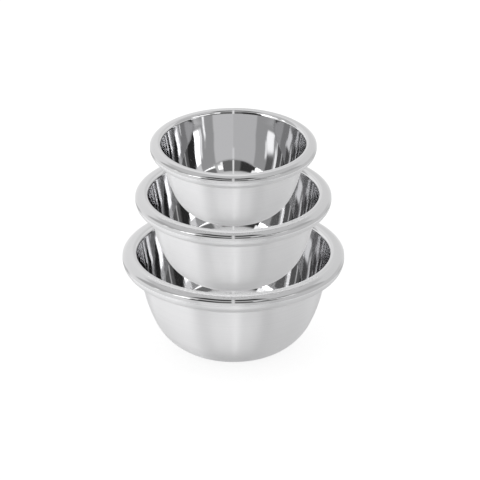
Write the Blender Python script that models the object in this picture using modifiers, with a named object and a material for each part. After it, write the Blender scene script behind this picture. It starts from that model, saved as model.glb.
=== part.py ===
"""A nesting set of three round stainless steel ward bowls, stacked for display.

Each bowl is one pressed disc of sheet steel: a flat base with a raised centre panel, a rounded
corner, a wall that leans out a little, and a rolled lip that is tucked back against the wall.
The three bowls are loose. The two smaller ones stand raised, each part-way in the mouth of the
next, and each slides straight down until it nests.

Metres, +Z up. The origin is the middle of the large bowl's base, on the surface it stands on.
"""

import math

import bpy

# The rim diameters, over the lip. All three bowls have the same shape at different sizes.
RIM_DIAMETERS = {"large_bowl": 0.240, "medium_bowl": 0.212, "small_bowl": 0.180}

# How high each bowl's base stands above the ground in the displayed stack.
BASE_HEIGHTS = {"large_bowl": 0.0, "medium_bowl": 0.0820, "small_bowl": 0.1561}

SHEET = 0.0006  # thickness of the steel, the same in every bowl

# The shape of the large bowl, measured on the side that holds the contents. The others scale.
MASTER_RIM_RADIUS = 0.120
PANEL_RADIUS = 0.034  # flat middle of the raised panel
PANEL_RAMP_RADIUS = 0.0083  # the two arcs that bring the panel down to the standing ring
PANEL_RAMP_SWEEP = 20.0  # degrees
BASE_RADIUS = 0.0565  # outer edge of the flat standing ring
CORNER_RADII = (0.0065, 0.0617, 0.1650)  # base to wall, ever gentler
CORNER_SWEEPS = (30.0, 34.5, 16.3)  # degrees, which leave the wall leaning 9.2 degrees outwards
WALL_LENGTH = 0.0289  # straight part of the wall
SHOULDER_RADIUS = 0.0058  # where the wall turns out into the lip
LIP_OUTER_RADIUS = 0.0059  # where the lip's top turns down
LIP_SIDE = 0.0028  # straight outer face of the lip
LIP_TURN_RADIUS = 0.0120  # where the lip turns back under
LIP_TURN_SWEEP = 60.0  # degrees
LIP_GAP = 0.0004  # between the end of the rolled lip and the wall

TURN_STEPS = 48  # facets round the bowl
ARC_STEP = 22.5  # most degrees of turn between two points of the profile
CHORD_ERROR = 0.00035  # most that a straight facet of the profile strays from its true arc
MERGE = 0.00001  # joins the first and last turn where they meet

STEEL_COLOUR = (0.78, 0.78, 0.79, 1.0)
STEEL_ROUGHNESS = 0.15  # between the polished inside and the satin outside


def clear_scene():
    """Remove everything that the scene holds."""
    for old in list(bpy.data.objects):
        bpy.data.objects.remove(old, do_unlink=True)


def arc_steps(bend_radius, sweep):
    """How many straight facets stand for an arc of the profile."""
    chord_turn = 2 * math.degrees(math.acos(1 - CHORD_ERROR / bend_radius))
    return math.ceil(abs(sweep) / min(ARC_STEP, chord_turn))


class Path:
    """A line drawn in the (radius, height) plane that turns only through tangent arcs."""

    def __init__(self, radius, height):
        self.points = [(radius, height)]
        self.heading = 0.0  # degrees: 0 is outwards, 90 is up

    def line(self, length):
        """Go straight on."""
        radius, height = self.points[-1]
        turn = math.radians(self.heading)
        self.points.append((radius + length * math.cos(turn), height + length * math.sin(turn)))

    def arc(self, bend_radius, sweep):
        """Turn by sweep degrees, upwards if it is positive."""
        steps = arc_steps(bend_radius, sweep)
        side = math.copysign(90.0, sweep)
        radius, height = self.points[-1]
        towards_centre = math.radians(self.heading + side)
        centre_radius = radius + bend_radius * math.cos(towards_centre)
        centre_height = height + bend_radius * math.sin(towards_centre)
        for step in range(1, steps + 1):
            outwards = math.radians(self.heading + sweep * step / steps - side)
            self.points.append(
                (
                    centre_radius + bend_radius * math.cos(outwards),
                    centre_height + bend_radius * math.sin(outwards),
                )
            )
        self.heading += sweep


def lip_flat(path, scale):
    """Length of the flat top that brings the lip out to the rim's radius."""
    return scale * (MASTER_RIM_RADIUS - LIP_OUTER_RADIUS) - path.points[-1][0]


def tuck_length(path, wall_foot):
    """How far the lip runs on under itself before it meets the wall's outer face."""
    lean = math.radians(sum(CORNER_SWEEPS))
    foot_radius, foot_height = wall_foot
    radius, height = path.points[-1]
    heading = math.radians(path.heading)
    # The lip's upper corner is one sheet thickness to the right of the way it runs.
    radius += SHEET * math.sin(heading)
    height -= SHEET * math.cos(heading)
    # Distances from the wall, measured square to it.
    away = (radius - foot_radius) * math.sin(lean) - (height - foot_height) * math.cos(lean)
    closing = -(math.cos(heading) * math.sin(lean) - math.sin(heading) * math.cos(lean))
    return (away - SHEET - LIP_GAP) / closing


def bowl_profile(scale):
    """The side of the sheet that holds the contents, from the middle of the base to the lip's end."""
    ramp_drop = 2 * PANEL_RAMP_RADIUS * (1 - math.cos(math.radians(PANEL_RAMP_SWEEP)))
    ramp_length = 2 * PANEL_RAMP_RADIUS * math.sin(math.radians(PANEL_RAMP_SWEEP))
    path = Path(0.0, SHEET + scale * ramp_drop)
    path.line(scale * PANEL_RADIUS)
    path.arc(scale * PANEL_RAMP_RADIUS, -PANEL_RAMP_SWEEP)
    path.arc(scale * PANEL_RAMP_RADIUS, PANEL_RAMP_SWEEP)
    path.line(scale * (BASE_RADIUS - PANEL_RADIUS - ramp_length))
    for bend_radius, sweep in zip(CORNER_RADII, CORNER_SWEEPS):
        path.arc(scale * bend_radius, sweep)
    wall_foot = path.points[-1]
    path.line(scale * WALL_LENGTH)
    path.arc(scale * SHOULDER_RADIUS, -sum(CORNER_SWEEPS))
    path.line(lip_flat(path, scale))
    path.arc(scale * LIP_OUTER_RADIUS, -90.0)
    path.line(scale * LIP_SIDE)
    path.arc(scale * LIP_TURN_RADIUS, -LIP_TURN_SWEEP)
    path.line(tuck_length(path, wall_foot))
    return path.points


def steel(name):
    """Polished stainless steel for one bowl."""
    material = bpy.data.materials.new(name + "_steel")
    material.use_nodes = True
    shader = material.node_tree.nodes["Principled BSDF"]
    shader.inputs["Base Color"].default_value = STEEL_COLOUR
    shader.inputs["Metallic"].default_value = 1.0
    shader.inputs["Roughness"].default_value = STEEL_ROUGHNESS
    return material


def make_bowl(name, collection):
    """One bowl: its profile turned round Z, then given the sheet's thickness."""
    scale = RIM_DIAMETERS[name] / (2 * MASTER_RIM_RADIUS)
    points = bowl_profile(scale)
    mesh = bpy.data.meshes.new(name)
    edges = [(i, i + 1) for i in range(len(points) - 1)]
    mesh.from_pydata([(radius, 0.0, height) for radius, height in points], edges, [])
    bowl = bpy.data.objects.new(name, mesh)
    bowl.location.z = BASE_HEIGHTS[name]
    bowl.data.materials.append(steel(name))
    collection.objects.link(bowl)

    turned = bowl.modifiers.new("turned", "SCREW")
    turned.axis = "Z"
    turned.angle = 2 * math.pi
    turned.steps = TURN_STEPS
    turned.render_steps = TURN_STEPS
    turned.use_merge_vertices = True
    turned.merge_threshold = MERGE
    turned.use_smooth_shade = True

    sheet = bowl.modifiers.new("sheet", "SOLIDIFY")
    sheet.thickness = SHEET
    sheet.offset = -1.0
    sheet.use_even_offset = True
    sheet.use_rim = True
    return bowl


def main():
    clear_scene()
    collection = bpy.data.collections.new("nesting_bowls")
    bpy.context.scene.collection.children.link(collection)
    for name in RIM_DIAMETERS:
        make_bowl(name, collection)


main()
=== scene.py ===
"""The looks of a nesting set of three round stainless steel ward bowls.

Each bowl is turned afresh, within a millimetre of its CAD node and finely enough to mirror cleanly:
polished inside and over the rolled lip, satin outside. It rides on its own CAD body, so it lifts
and nests with the joints. Metres, +Z up, in the frame's own coordinates.
"""

import collections
import math

import bpy
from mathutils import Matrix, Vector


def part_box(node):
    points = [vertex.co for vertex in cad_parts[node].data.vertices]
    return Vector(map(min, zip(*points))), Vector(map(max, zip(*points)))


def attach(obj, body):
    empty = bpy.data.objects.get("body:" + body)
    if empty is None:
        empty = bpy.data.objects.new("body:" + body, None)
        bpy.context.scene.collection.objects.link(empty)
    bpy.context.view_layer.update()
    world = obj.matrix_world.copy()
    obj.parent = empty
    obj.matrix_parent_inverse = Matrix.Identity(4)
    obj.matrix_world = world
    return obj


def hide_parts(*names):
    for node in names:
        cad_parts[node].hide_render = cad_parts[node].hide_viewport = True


# Every bowl: its CAD node, the body it rides on and the record's material slot.
BOWLS = (
    ("large_bowl", "large", "large_steel"),
    ("medium_bowl", "medium", "medium_steel"),
    ("small_bowl", "small", "small_steel"),
)

# The shape of the large bowl, from the middle outwards, on the side that holds the contents. The
# others scale from it, but for the sheet and the gap under the lip.
SHEET = 0.0006  # thickness of the steel
MASTER_RIM_RADIUS = 0.120
PANEL_RADIUS = 0.034  # raised flat panel in the middle of the base
PANEL_RAMP_RADIUS = 0.0083  # two bends that bring it down to the ring the bowl stands on
PANEL_RAMP_SWEEP = 20.0
BASE_RADIUS = 0.0565  # outside of that ring
CORNER_RADII = (0.0065, 0.0617, 0.1650)  # base to wall, ever gentler
CORNER_SWEEPS = (30.0, 34.5, 16.3)
FLARE_RADII = (1.4400, 0.0079)  # the wall leans out, then turns over towards the lip
FLARE_SWEEPS = (1.15, 34.65)
SHOULDER_RADIUS = 0.0024  # last and tightest turn, on to the lip's flat top
SHOULDER_SWEEP = 45.0
LIP_OUTER_RADII = (0.0090, 0.0025)  # gently down from the top, then tightly round the edge
LIP_OUTER_SWEEPS = (57.0, 33.0)
LIP_SIDE = 0.0028  # short upright side
LIP_TURN_RADIUS = 0.0120  # back in under the lip
LIP_TURN_SWEEP = 60.0
LIP_GAP = 0.0006  # between the lip's end and the wall, if the wall didn't flare

TURN_STEPS = 240  # facets round a bowl
ARC_STEP = 4.0  # degrees of turn between two points of the profile
LINE_STEP = 0.004  # metres between two points on a straight run
EDGE_STEPS = 4  # facets round the sheet's cut edge

# The finishes of the sheet, as kept in each bowl's "finish" attribute, and how much each reflects.
# The satin's two values are the ends of a range that varies with the brushed lines.
MIRROR, LIP, SATIN = 1.0, 0.5, 0.0
MIRROR_REFLECTANCE = 0.63
# The lip is polished like the inside; its lower reflectance is painted shade, darkening what it
# mirrors.
LIP_SHADED_REFLECTANCE = 0.54
SATIN_REFLECTANCE = (0.76, 0.80)
SATIN_ROUGHNESS = (0.30, 0.38)
POLISHED_ROUGHNESS = 0.045
SATIN_ANISOTROPY = 0.9
QUARTER_TURN = 0.25  # turns the highlights upright
BLUE_TINT = 1.01  # a trace more blue than red and green

# The unevenness of the steel, made of noise.
BRUSHED_LINES = (6.0, 6.0, 2600.0)  # grains per metre along X, Y and Z
BRUSHED_DETAIL = 3.0
BRUSHED_RANGE = (0.3, 0.7)  # noise values that give the two ends of each SATIN range
DENTS = (9.0, 9.0, 40.0)  # grains per metre along X, Y and Z
DENT_DEPTH = 0.00012

# The view: a long lens, a little above, with the stack just left of the middle.
VIEW_ELEVATION = 25.9
VIEW_DISTANCE = 15.0
VIEW_WIDTH = 0.5188  # metres seen across the picture at the stack
VIEW_TARGET = (0.0072, 0.0, 0.1184)
VIEW_END = 60.0  # the camera sees nothing further off
SENSOR = 36.0

WHITE = 1.08  # brightness of the plain white light
FLOOR_SIZE = 8.0
FLOOR_SHADE = 0.30
FLOOR_GLOW = 0.76  # lifts the floor to white and keeps the shadow faint
FLOOR_ROUGHNESS = 0.9

# How many times light may bounce: the deep polished bowls need many.
GLOSSY_BOUNCES = 16
MAX_BOUNCES = 20
PASS_THROUGH_BOUNCES = 32

# Cones that part one bowl from its neighbours in the stack, in the large bowl's measures. A bowl
# lies above the outer cone, below the inner cone and above its own base.
OUTER_CONE_FOOT = 0.0933  # radius at the height of the base
OUTER_CONE_SLOPE = 2.14  # rise over run
INNER_CONE_FOOT = 0.0317  # height on the axis
INNER_CONE_SLOPE = 0.9
BASE_MARGIN = 0.002

Panel = collections.namedtuple("Panel", "left right low high side_edge level_edge brightness")

# What the steel mirrors: degrees round from the camera, right positive, and degrees up from level,
# with the width of the soft edges. Later panels lie over earlier ones. The rest is ROOM bright.
# It is an invented studio, fitted to the shades in the photo. The names of its things are
# guesses, only there to tell the panels apart.
ROOM = 0.68
STUDIO = (
    Panel(-200.0, 200.0, 44.0, 120.0, 1.0, 8.0, 0.88),  # white ceiling
    Panel(-60.0, 45.0, 52.0, 72.0, 8.0, 5.0, 0.06),  # black boom over the camera
    Panel(-2.5, 2.5, 50.0, 74.0, 2.5, 4.0, 1.07),  # slit in the boom
    Panel(-200.0, -116.0, -28.0, 44.0, 7.0, 8.0, 1.18),  # pale wall behind, left half
    Panel(106.0, 200.0, -28.0, 44.0, 6.0, 8.0, 1.05),  # pale wall behind, right half
    Panel(-200.0, -176.5, 28.5, 50.0, 3.0, 3.0, 1.45),  # gap between its halves
    Panel(176.5, 200.0, 28.5, 50.0, 3.0, 3.0, 1.45),
    Panel(-200.0, 200.0, -120.0, -25.0, 1.0, 8.0, 0.52),  # table top
    Panel(-160.0, 160.0, -74.0, -25.0, 50.0, 22.0, 0.68),  # its near side
    Panel(-130.0, 9.0, -66.0, -25.0, 40.0, 22.0, 1.00),  # lit from the left
    Panel(-44.0, 44.0, -70.0, -25.0, 24.0, 22.0, 1.10),  # and from the front
    Panel(-36.0, 10.0, -66.0, -25.0, 10.0, 22.0, 1.26),  # bounce card on the table
    Panel(2.0, 10.0, -82.0, -40.0, 5.0, 14.0, 1.45),  # its edge
    Panel(-140.0, -44.0, -36.0, 12.0, 16.0, 4.0, 1.2),  # pale sheet under the lamps, left
    Panel(44.0, 140.0, -36.0, 12.0, 16.0, 4.0, 0.88),  # the same on the right
    Panel(-50.0, 46.0, -21.0, 12.0, 16.0, 4.0, 0.10),  # dark gap under the flags
    Panel(-45.0, 21.0, 8.0, 40.0, 3.0, 5.0, 0.05),  # black flag round the camera
    Panel(-14.0, 20.0, -22.0, 40.0, 5.0, 5.0, 0.2),  # dark grey stand of the camera
    Panel(-87.5, -81.5, 12.0, 24.0, 3.0, 4.0, 2.44),  # narrow lamp, far left
    Panel(-74.0, -45.0, 15.0, 28.5, 3.0, 4.0, 1.83),  # soft box, left
    Panel(-64.0, -46.0, 16.0, 32.0, 3.0, 3.0, 4.95),  # its bright middle
    Panel(-59.0, -57.0, 15.0, 31.0, 1.0, 3.0, 1.68),  # its frame
    Panel(-62.0, -40.0, 32.0, 42.0, 3.0, 4.0, 1.45),  # light it throws on the wall above
    Panel(37.0, 66.0, 16.5, 26.5, 4.0, 3.0, 2.13),  # soft box, right
    Panel(42.0, 61.0, 17.0, 26.5, 3.0, 3.0, 2.29),  # its bright middle
    Panel(64.0, 71.0, 24.5, 29.0, 3.0, 2.0, 1.83),  # light past its corner
    Panel(36.0, 62.0, 27.5, 40.0, 4.0, 3.0, 0.23),  # dark hood over it
    Panel(21.0, 30.5, 24.0, 34.0, 2.0, 3.0, 1.98),  # gaps between the flags
    Panel(20.5, 25.0, 19.0, 26.0, 2.0, 3.0, 1.37),
    Panel(-1.6, 1.6, -22.0, 50.0, 2.0, 4.0, 1.14),  # thin slit straight ahead
)


class Path:
    """A line in the (radius, height) plane that turns only through tangent arcs."""

    def __init__(self, radius, height, finish):
        self.points = []
        self.headings = []
        self.finishes = []
        self.heading = 0.0
        self.finish = finish  # of the points still to come
        self.add(radius, height, self.heading)

    def add(self, radius, height, heading):
        """Note one more point."""
        self.points.append((radius, height))
        self.headings.append(heading)
        self.finishes.append(self.finish)

    def line(self, length):
        """Go straight on, in short steps."""
        steps = max(1, math.ceil(length / LINE_STEP))
        radius, height = self.points[-1]
        turn = math.radians(self.heading)
        for step in range(1, steps + 1):
            run = length * step / steps
            self.add(radius + run * math.cos(turn), height + run * math.sin(turn), self.heading)

    def arc(self, bend_radius, sweep):
        """Turn by sweep degrees, upwards if it is positive."""
        steps = math.ceil(abs(sweep) / ARC_STEP)
        side = math.copysign(90.0, sweep)
        radius, height = self.points[-1]
        towards_centre = math.radians(self.heading + side)
        centre_radius = radius + bend_radius * math.cos(towards_centre)
        centre_height = height + bend_radius * math.sin(towards_centre)
        for step in range(1, steps + 1):
            turned = self.heading + sweep * step / steps
            outwards = math.radians(turned - side)
            self.add(
                centre_radius + bend_radius * math.cos(outwards),
                centre_height + bend_radius * math.sin(outwards),
                turned,
            )
        self.heading += sweep


def lip_flat(path, scale):
    """Length of the flat top that brings the lip out to the rim's radius."""
    gentle, tight = LIP_OUTER_RADII
    turn = math.radians(LIP_OUTER_SWEEPS[0])
    overhang = gentle * math.sin(turn) + tight * (1 - math.sin(turn))
    return scale * (MASTER_RIM_RADIUS - overhang) - path.points[-1][0]


def tuck_length(path, wall_foot):
    """How far the lip runs on under itself, to stop short of the wall, which is taken as straight."""
    lean = math.radians(sum(CORNER_SWEEPS))
    foot_radius, foot_height = wall_foot
    radius, height = path.points[-1]
    heading = math.radians(path.heading)
    radius += SHEET * math.sin(heading)
    height -= SHEET * math.cos(heading)
    away = (radius - foot_radius) * math.sin(lean) - (height - foot_height) * math.cos(lean)
    closing = -(math.cos(heading) * math.sin(lean) - math.sin(heading) * math.cos(lean))
    return (away - SHEET - LIP_GAP) / closing


def bowl_path(scale):
    """The sheet's inner side, from the middle of the base to the lip's end."""
    ramp_turn = math.radians(PANEL_RAMP_SWEEP)
    ramp_drop = 2 * PANEL_RAMP_RADIUS * (1 - math.cos(ramp_turn))
    ramp_length = 2 * PANEL_RAMP_RADIUS * math.sin(ramp_turn)
    path = Path(0.0, SHEET + scale * ramp_drop, MIRROR)
    path.line(scale * PANEL_RADIUS)
    path.arc(scale * PANEL_RAMP_RADIUS, -PANEL_RAMP_SWEEP)
    path.arc(scale * PANEL_RAMP_RADIUS, PANEL_RAMP_SWEEP)
    path.line(scale * (BASE_RADIUS - PANEL_RADIUS - ramp_length))
    for bend_radius, sweep in zip(CORNER_RADII, CORNER_SWEEPS):
        path.arc(scale * bend_radius, sweep)
    wall_foot = path.points[-1]
    for bend_radius, sweep in zip(FLARE_RADII, FLARE_SWEEPS):
        path.arc(scale * bend_radius, -sweep)
    path.finish = LIP
    path.arc(scale * SHOULDER_RADIUS, -SHOULDER_SWEEP)
    path.line(lip_flat(path, scale))
    for bend_radius, sweep in zip(LIP_OUTER_RADII, LIP_OUTER_SWEEPS):
        path.arc(scale * bend_radius, -sweep)
    path.line(scale * LIP_SIDE)
    path.finish = SATIN
    path.arc(scale * LIP_TURN_RADIUS, -LIP_TURN_SWEEP)
    path.line(tuck_length(path, wall_foot))
    return path


def sheet_outline(scale):
    """Round the whole sheet: the inner side, its rounded cut edge and back along the outer side.

    Returns (radius, height, finish) points, where finish is MIRROR inside the bowl, LIP on top of
    the lip and SATIN outside.
    """
    path = bowl_path(scale)
    inner = []
    outer = []
    for (radius, height), heading, finish in zip(path.points, path.headings, path.finishes):
        turn = math.radians(heading)
        inner.append((radius, height, finish))
        outer.append((radius + SHEET * math.sin(turn), height - SHEET * math.cos(turn), SATIN))
    edge = []
    half = SHEET / 2
    last_radius, last_height = path.points[-1]
    turn = math.radians(path.headings[-1])
    middle_radius = last_radius + half * math.sin(turn)
    middle_height = last_height - half * math.cos(turn)
    for step in range(1, EDGE_STEPS):
        around = turn + math.pi / 2 - math.pi * step / EDGE_STEPS
        edge_radius = middle_radius + half * math.cos(around)
        edge_height = middle_height + half * math.sin(around)
        edge.append((edge_radius, edge_height, SATIN))
    return inner + edge + outer[::-1]


def turned_mesh(name, outline, base_height):
    """The outline turned once round Z. Its first and last points lie on the axis."""
    vertices = []
    finishes = []
    for radius, height, finish in outline[1:-1]:
        for step in range(TURN_STEPS):
            angle = 2 * math.pi * step / TURN_STEPS
            vertices.append((radius * math.cos(angle), radius * math.sin(angle), base_height + height))
            finishes.append(finish)
    first, last = len(vertices), len(vertices) + 1
    for _, height, finish in (outline[0], outline[-1]):
        vertices.append((0.0, 0.0, base_height + height))
        finishes.append(finish)
    faces = []
    rings = len(outline) - 2
    for ring in range(rings - 1):
        here, beyond = ring * TURN_STEPS, (ring + 1) * TURN_STEPS
        for step in range(TURN_STEPS):
            after = (step + 1) % TURN_STEPS
            faces.append((here + step, beyond + step, beyond + after, here + after))
    tail = (rings - 1) * TURN_STEPS
    for step in range(TURN_STEPS):
        after = (step + 1) % TURN_STEPS
        faces.append((first, step, after))
        faces.append((last, tail + after, tail + step))
    mesh = bpy.data.meshes.new(name)
    mesh.from_pydata(vertices, [], faces)
    mesh.shade_smooth()
    mesh.attributes.new("finish", "FLOAT", "POINT").data.foreach_set("value", finishes)
    return mesh


class Graph:
    """Adds nodes to a material or world and wires them up."""

    def __init__(self, owner):
        owner.use_nodes = True
        self.tree = owner.node_tree

    def node(self, kind, **settings):
        """A new node with the given settings."""
        node = self.tree.nodes.new(kind)
        for name, value in settings.items():
            setattr(node, name, value)
        return node

    def feed(self, socket, value):
        """Give an input a value, a colour or another node's output."""
        if isinstance(value, bpy.types.NodeSocket):
            self.tree.links.new(value, socket)
        else:
            socket.default_value = value

    def math(self, operation, *values):
        """The result of an operation on numbers or outputs."""
        node = self.node("ShaderNodeMath", operation=operation)
        for socket, value in zip(node.inputs, values):
            self.feed(socket, value)
        return node.outputs[0]

    def vector(self, operation, *values):
        """The result of an operation on vectors: a vector, or a number for a length."""
        node = self.node("ShaderNodeVectorMath", operation=operation)
        for socket, value in zip(node.inputs, values):
            self.feed(socket, value)
        return node.outputs["Value" if operation == "LENGTH" else "Vector"]

    def ramp(self, value, start, end, low=0.0, high=1.0):
        """Goes smoothly from low to high while value goes from start to end."""
        node = self.node("ShaderNodeMapRange", interpolation_type="SMOOTHSTEP")
        for socket, setting in zip(node.inputs, (value, start, end, low, high)):
            self.feed(socket, setting)
        return node.outputs["Result"]

    def window(self, value, low, high, edge):
        """1 while value is between low and high, with soft edges."""
        rise = self.ramp(value, low - edge / 2, low + edge / 2)
        fall = self.ramp(value, high - edge / 2, high + edge / 2, 1.0, 0.0)
        return self.math("MULTIPLY", rise, fall)

    def blend(self, share, first, second):
        """first where share is 0 and second where it is 1."""
        node = self.node("ShaderNodeMix", data_type="FLOAT")
        self.feed(node.inputs["Factor"], share)
        self.feed(node.inputs["A"], first)
        self.feed(node.inputs["B"], second)
        return node.outputs["Result"]

    def noise(self, place, stretch, detail):
        """Noise at a place, stretched along each axis."""
        node = self.node("ShaderNodeTexNoise")
        self.feed(node.inputs["Vector"], self.vector("MULTIPLY", place, stretch))
        self.feed(node.inputs["Scale"], 1.0)
        self.feed(node.inputs["Detail"], detail)
        return node.outputs["Fac"]


def starts_on_bowl(graph, scale, base_height):
    """1 where the ray that meets the steel started on this same bowl, and 0 elsewhere."""
    light_path = graph.node("ShaderNodeLightPath")
    geometry = graph.node("ShaderNodeNewGeometry")
    back = graph.node("ShaderNodeVectorMath", operation="SCALE")
    graph.feed(back.inputs[0], geometry.outputs["Incoming"])
    graph.feed(back.inputs["Scale"], light_path.outputs["Ray Length"])
    start = graph.vector("ADD", geometry.outputs["Position"], back.outputs[0])
    to_bowl = graph.node(
        "ShaderNodeVectorTransform", vector_type="POINT", convert_from="WORLD", convert_to="OBJECT"
    )
    graph.feed(to_bowl.inputs[0], start)
    split = graph.node("ShaderNodeSeparateXYZ")
    graph.feed(split.inputs[0], to_bowl.outputs[0])
    height = graph.math("SUBTRACT", split.outputs[2], base_height)
    radius = graph.vector("LENGTH", graph.vector("MULTIPLY", to_bowl.outputs[0], (1.0, 1.0, 0.0)))
    outer = graph.math("SUBTRACT", radius, scale * OUTER_CONE_FOOT)
    outer = graph.math("MULTIPLY", outer, OUTER_CONE_SLOPE)
    inner = graph.math("MULTIPLY_ADD", radius, INNER_CONE_SLOPE, scale * INNER_CONE_FOOT)
    above_base = graph.math("GREATER_THAN", height, -BASE_MARGIN)
    above_outer = graph.math("GREATER_THAN", height, outer)
    below_inner = graph.math("LESS_THAN", height, inner)
    return graph.math("MULTIPLY", above_base, graph.math("MULTIPLY", above_outer, below_inner))


def steel(name, scale, base_height):
    """Stainless steel: mirror polished inside and on the lip, fine satin round the outside.

    As in a picture put together from single bowls, each bowl mirrors only itself and the studio:
    the steel lets through the mirror rays that start on another bowl.
    """
    material = bpy.data.materials.new(name)
    graph = Graph(material)
    shader = graph.tree.nodes["Principled BSDF"]
    finish = graph.node("ShaderNodeAttribute", attribute_name="finish").outputs["Fac"]
    place = graph.node("ShaderNodeTexCoord").outputs["Object"]
    polished = graph.ramp(finish, SATIN, LIP)
    # 1 inside the bowl and 0 on the lip, where a lower reflectance paints shade.
    unshaded_mirror_share = graph.ramp(finish, LIP, MIRROR)

    # Lines left by the brushing: very fine up the wall, long round it.
    lines = graph.noise(place, BRUSHED_LINES, BRUSHED_DETAIL)
    satin = graph.ramp(lines, *BRUSHED_RANGE, *SATIN_ROUGHNESS)
    graph.feed(shader.inputs["Roughness"], graph.blend(polished, satin, POLISHED_ROUGHNESS))
    graph.feed(shader.inputs["Anisotropic"], graph.blend(polished, SATIN_ANISOTROPY, 0.0))
    graph.feed(shader.inputs["Anisotropic Rotation"], QUARTER_TURN)
    tangent = graph.node("ShaderNodeTangent", direction_type="RADIAL", axis="Z")
    graph.feed(shader.inputs["Tangent"], tangent.outputs[0])

    satin_shade = graph.ramp(lines, *BRUSHED_RANGE, *SATIN_REFLECTANCE)
    # On the lip the polished steel is made darker than inside: painted shade.
    polished_shade = graph.blend(unshaded_mirror_share, LIP_SHADED_REFLECTANCE, MIRROR_REFLECTANCE)
    shade = graph.blend(polished, satin_shade, polished_shade)
    colour = graph.node("ShaderNodeCombineColor")
    graph.feed(colour.inputs[0], shade)
    graph.feed(colour.inputs[1], shade)
    graph.feed(colour.inputs[2], graph.math("MULTIPLY", shade, BLUE_TINT))
    graph.feed(shader.inputs["Base Color"], colour.outputs[0])
    graph.feed(shader.inputs["Metallic"], 1.0)

    # The sheet is very slightly uneven, so what it mirrors wavers.
    bump = graph.node("ShaderNodeBump")
    graph.feed(bump.inputs["Distance"], DENT_DEPTH)
    graph.feed(bump.inputs["Height"], graph.noise(place, DENTS, 0.0))
    graph.feed(shader.inputs["Normal"], bump.outputs["Normal"])

    mirrored = graph.node("ShaderNodeLightPath").outputs["Is Glossy Ray"]
    own = starts_on_bowl(graph, scale, base_height)
    graph.feed(shader.inputs["Alpha"], graph.blend(mirrored, 1.0, own))
    return material


def make_bowl(node, body):
    """One bowl, as large as its CAD node, standing for it and riding on its body."""
    low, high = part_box(node)
    scale = high.x / MASTER_RIM_RADIUS
    mesh = turned_mesh(node + "_steel", sheet_outline(scale), low.z)
    mesh.materials.append(steel(node + "_finish", scale, low.z))
    bowl = bpy.data.objects.new(node + "_steel", mesh)
    bpy.context.scene.collection.objects.link(bowl)
    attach(bowl, body)
    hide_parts(node)


def make_floor():
    """A plain pale floor, which the steel doesn't mirror."""
    mesh = bpy.data.meshes.new("floor")
    half = FLOOR_SIZE / 2
    corners = [(-half, -half, 0.0), (half, -half, 0.0), (half, half, 0.0), (-half, half, 0.0)]
    mesh.from_pydata(corners, [], [(0, 1, 2, 3)])
    floor = bpy.data.objects.new("floor", mesh)
    bpy.context.scene.collection.objects.link(floor)
    material = bpy.data.materials.new("floor_paper")
    graph = Graph(material)
    shader = graph.tree.nodes["Principled BSDF"]
    graph.feed(shader.inputs["Base Color"], (FLOOR_SHADE, FLOOR_SHADE, FLOOR_SHADE, 1.0))
    graph.feed(shader.inputs["Roughness"], FLOOR_ROUGHNESS)
    graph.feed(shader.inputs["Specular IOR Level"], 0.0)
    graph.feed(shader.inputs["Emission Color"], (1.0, 1.0, 1.0, 1.0))
    graph.feed(shader.inputs["Emission Strength"], FLOOR_GLOW)
    mesh.materials.append(material)
    floor.visible_glossy = False


def studio_brightness(graph, direction):
    """How bright the studio is in a direction."""
    split = graph.node("ShaderNodeSeparateXYZ")
    graph.feed(split.inputs[0], direction)
    x, y, z = split.outputs
    degrees = math.degrees(1.0)
    towards_camera = graph.math("MULTIPLY", y, -1.0)
    azimuth = graph.math("MULTIPLY", graph.math("ARCTAN2", x, towards_camera), degrees)
    elevation = graph.math("MULTIPLY", graph.math("ARCSINE", z), degrees)
    seen = ROOM
    for panel in STUDIO:
        across = graph.window(azimuth, panel.left, panel.right, panel.side_edge)
        upright = graph.window(elevation, panel.low, panel.high, panel.level_edge)
        seen = graph.blend(graph.math("MULTIPLY", across, upright), seen, panel.brightness)
    return seen


def make_world():
    """A soft white studio. Its panels show only in the steel; all else is lit plain white."""
    world = bpy.data.worlds.new("studio")
    bpy.context.scene.world = world
    graph = Graph(world)
    direction = graph.node("ShaderNodeTexCoord").outputs["Generated"]
    mirrored = graph.node("ShaderNodeLightPath").outputs["Is Glossy Ray"]
    background = graph.tree.nodes["Background"]
    graph.feed(background.inputs["Color"], (1.0, 1.0, 1.0, 1.0))
    strength = graph.blend(mirrored, WHITE, studio_brightness(graph, direction))
    graph.feed(background.inputs["Strength"], strength)


def make_camera():
    """A long lens looking at the stack from the front, a little above it."""
    elevation = math.radians(VIEW_ELEVATION)
    data = bpy.data.cameras.new("camera")
    data.sensor_width = SENSOR
    data.lens = SENSOR * VIEW_DISTANCE / VIEW_WIDTH
    data.clip_end = VIEW_END
    camera = bpy.data.objects.new("camera", data)
    x, y, z = VIEW_TARGET
    back = VIEW_DISTANCE * math.cos(elevation)
    up = VIEW_DISTANCE * math.sin(elevation)
    camera.location = (x, y - back, z + up)
    camera.rotation_euler = (math.pi / 2 - elevation, 0.0, 0.0)
    bpy.context.scene.collection.objects.link(camera)
    bpy.context.scene.camera = camera


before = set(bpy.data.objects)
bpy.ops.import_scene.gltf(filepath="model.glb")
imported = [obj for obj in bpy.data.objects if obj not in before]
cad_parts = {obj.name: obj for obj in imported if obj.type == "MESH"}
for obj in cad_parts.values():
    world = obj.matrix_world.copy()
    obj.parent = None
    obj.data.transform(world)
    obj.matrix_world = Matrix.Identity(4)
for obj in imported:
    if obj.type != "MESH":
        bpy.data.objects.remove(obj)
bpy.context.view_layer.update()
scene = bpy.context.scene
scene.cycles.glossy_bounces = GLOSSY_BOUNCES
scene.cycles.max_bounces = MAX_BOUNCES
scene.cycles.transparent_max_bounces = PASS_THROUGH_BOUNCES
scene.view_settings.view_transform = "Standard"
for node, body, slot in BOWLS:
    make_bowl(node, body)
make_floor()
make_world()
make_camera()
